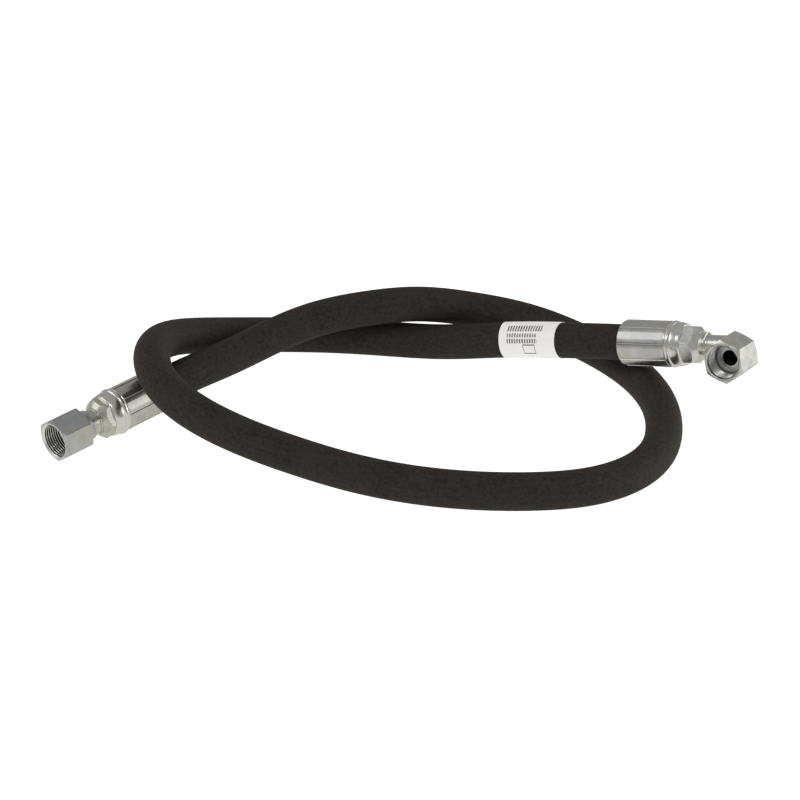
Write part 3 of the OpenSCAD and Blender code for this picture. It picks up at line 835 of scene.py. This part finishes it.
def buildBraze():
    # a ring whose hollow fillet runs from the socket's rim down to the tube
    rim = stem["neck"] + braze["proud"]
    fillet = ((rim - socketWall) * braze["filletShare"], braze["length"] - braze["filletFrom"])
    outline = [(socketWall, socketEnd), (rim - braze["edge"], socketEnd),
               (rim, socketEnd + braze["edgeHeight"]), (rim, socketEnd + braze["rim"])]
    outline += arc((rim, socketEnd + braze["length"]), fillet, *braze["filletArc"])
    outline += [(socketWall, socketEnd + braze["length"])]
    bm = turned(outline, braze["steps"], rightPlace)
    makePiece(bm, "rightBraze", makeBrazeLook(rightPlace), "assembly", ["right_braze_ring"])


def buildSleeve():
    # the sleeve on the tube's end, with the flat seal face
    radius, bevel = stem["sealRadius"], sleeve["rearBevel"]
    outline = [(socketWall, sleeveBack), (radius - bevel, sleeveBack), (radius, sleeveBack + bevel),
               (radius, rightSeal - stem["sealBevel"]), (radius - stem["sealBevel"], rightSeal),
               (socketWall, rightSeal)]
    bm = turned(outline, sleeve["steps"], elbowPlace)
    makePiece(bm, "rightFaceSleeve", zincPlate("sleeve", elbowPlace), "assembly",
              ["right_face_sleeve"])


buildTube()
buildBraze()
buildSleeve()
print("elbow done")


def threadRadius(angle, height, start, end):
    # 60 degree thread cut outwards from the minor diameter, run out at both ends
    turnShare = (height / nut["pitch"] - angle / 360) % 1
    depth = 1 - abs(turnShare - 0.5) * 2                 # 0 at a crest, 1 at a root
    depth = min(max((depth - nut["crest"]) / nut["flank"], 0), 1)
    fade = min(1, max(0, (height - start) / nut["runIn"]), max(0, (end - height) / nut["runOut"]))
    return nut["minor"] + (nut["major"] - nut["minor"]) * depth * fade


def buildNut(name, node, body, place, back, length, recess, rear, turn, hexBase, seal):
    corner, minor, mouth = nut["corner"], nut["minor"], nut["minor"] + nut["mouthChamfer"]
    bevel = (corner - nut["face"]) * tan(radians(nut["faceAngle"]))
    chamferTop = length - nut["mouthChamfer"]
    threadBack = length - recess + nut["threadGap"]
    reliefBack = threadBack - nut["reliefLength"]
    threadRows = round((chamferTop - threadBack) / nut["pitch"] * nut["pitchRows"])
    outline = rear["outside"] + spread((nut["face"], hexBase), (corner, hexBase + bevel), nut["faceRows"])
    outline += spread((corner, length - bevel), (nut["face"], length), nut["faceRows"])
    outline += [(mouth + nut["mouthEdge"], length), (mouth, length - nut["mouthRim"])]
    outline += spread((minor, chamferTop), (minor, threadBack), threadRows)
    outline += [(nut["relief"], threadBack - nut["reliefEdge"]), (nut["relief"], reliefBack),
                (nut["headBore"], reliefBack - nut["headEdge"])]
    outline += rear["inside"]

    def shape(angle, radius, height):
        if radius > nut["hexFrom"] and height > hexBase - nearly:
            return min(radius, hexRadius(angle, nut["flats"], corner))
        if abs(radius - minor) < nearly and threadBack - nearly < height < chamferTop + nearly:
            return threadRadius(angle, height, threadBack, length + nut["runPast"])
        return radius

    bm = turned(outline, nut["steps"], place @ Matrix.Translation((0, 0, back * mm)), shape, turn)
    plate = zincPlate(name, place, (paintThreadLight(seal, back + chamferTop),))
    makePiece(bm, name, plate, body, [node])


def leftRear():
    # the round skirt behind the hexagon, its lip rolled in behind the stem's head
    bore, lip, lipBore = nut["headBore"], nut["lip"], nut["lipBore"]
    skirtRadius, lipRadius = bore + nut["skirtWall"], lipBore + nut["lipWall"]
    outside = [(lipBore + nut["lipBoreEdge"], 0), (lipRadius - nut["lipEdge"], 0),
               (lipRadius, nut["lipEdge"])]
    outside += spread((lipRadius, lip), (skirtRadius, 2 * lip + skirtRadius - lipRadius), nut["skirtRows"])
    outside += [(skirtRadius, nut["skirt"] - nut["skirtEdge"]),
                (skirtRadius + nut["skirtEdge"], nut["skirt"])]
    inside = [(bore, lip + bore - lipBore), (lipBore, lip), (lipBore, nut["lipBoreEdge"])]
    return {"outside": outside, "inside": inside}


def rightRear():
    # the flat wall behind the sleeve on the tube
    bore, wall = nut["rearBore"], nut["rearWall"]
    return {"outside": [(bore + nut["rearEdge"], 0)],
            "inside": [(nut["headBore"], wall), (bore, wall), (bore, nut["rearEdge"])]}


buildNut("leftNut", "left_nut", "left_nut_body", leftPlace, lipStart, leftNutLength, nut["leftRecess"],
         leftRear(), nut["leftTurn"], nut["skirt"], leftSeal)
buildNut("rightNut", "right_nut", "right_nut_body", elbowPlace, rightNutBack, nut["rightHex"],
         nut["rightRecess"], rightRear(), nut["rightTurn"], 0, rightSeal)
print("nuts done")

# the studio's own sizes and places are in metres
studio = {
    "floorSize": 12, "floorTone": (0.5, 0.5, 0.49, 1), "floorRoughness": 0.9, "floorGlow": 0.42,
    "glowTone": (1, 0.995, 0.985, 1), "skyTone": (1, 1, 1, 1), "skyStrength": 0.32,
    "lights": {
        "keyBox": {"place": (-0.5, -1.3, 1.9), "aim": (0, 0.03, 0), "size": (0.8, 0.5), "power": 4.6},
        "leftBox": {"place": (-1.9, 0, 1.35), "aim": (0, 0, 0), "size": (1.5, 1.2), "power": 5.8},
        "rightBox": {"place": (2.1, 0.35, 0.5), "aim": (0, 0, 0.03), "size": (1.9, 1.1), "power": 12}}}


def makeFloor():
    # pure white where the camera sees it, dimmer where the parts mirror it
    bm = makeGrid(1, 1)[0]
    bmesh.ops.scale(bm, vec=(studio["floorSize"], studio["floorSize"], 1), verts=bm.verts)
    mesh = bpy.data.meshes.new("floor")
    bm.to_mesh(mesh)
    bm.free()
    look = Look("floorWhite")
    seen = look.add("LightPath").outputs["Is Camera Ray"]
    glow = look.maths("MULTIPLY_ADD", seen, 1 - studio["floorGlow"], studio["floorGlow"])
    mesh.materials.append(look.finish({
        "Base Color": studio["floorTone"], "Roughness": studio["floorRoughness"], "Specular IOR Level": 0,
        "Emission Color": studio["glowTone"], "Emission Strength": glow}))
    addObject("floor", mesh)


def makeLights():
    for name, values in studio["lights"].items():
        data = bpy.data.lights.new(name, "AREA")
        data.shape = "RECTANGLE"
        data.size, data.size_y = values["size"]
        data.energy = values["power"]
        aimAt(addObject(name, data), Vector(values["place"]), Vector(values["aim"]))


def makeSky():
    world = bpy.data.worlds.new("studio")
    world.use_nodes = True
    background = world.node_tree.nodes["Background"]
    background.inputs["Color"].default_value = studio["skyTone"]
    background.inputs["Strength"].default_value = studio["skyStrength"]
    bpy.context.scene.world = world
    bpy.context.scene.view_settings.view_transform = "Standard"


makeFloor()
makeLights()
makeSky()
print("studio done")
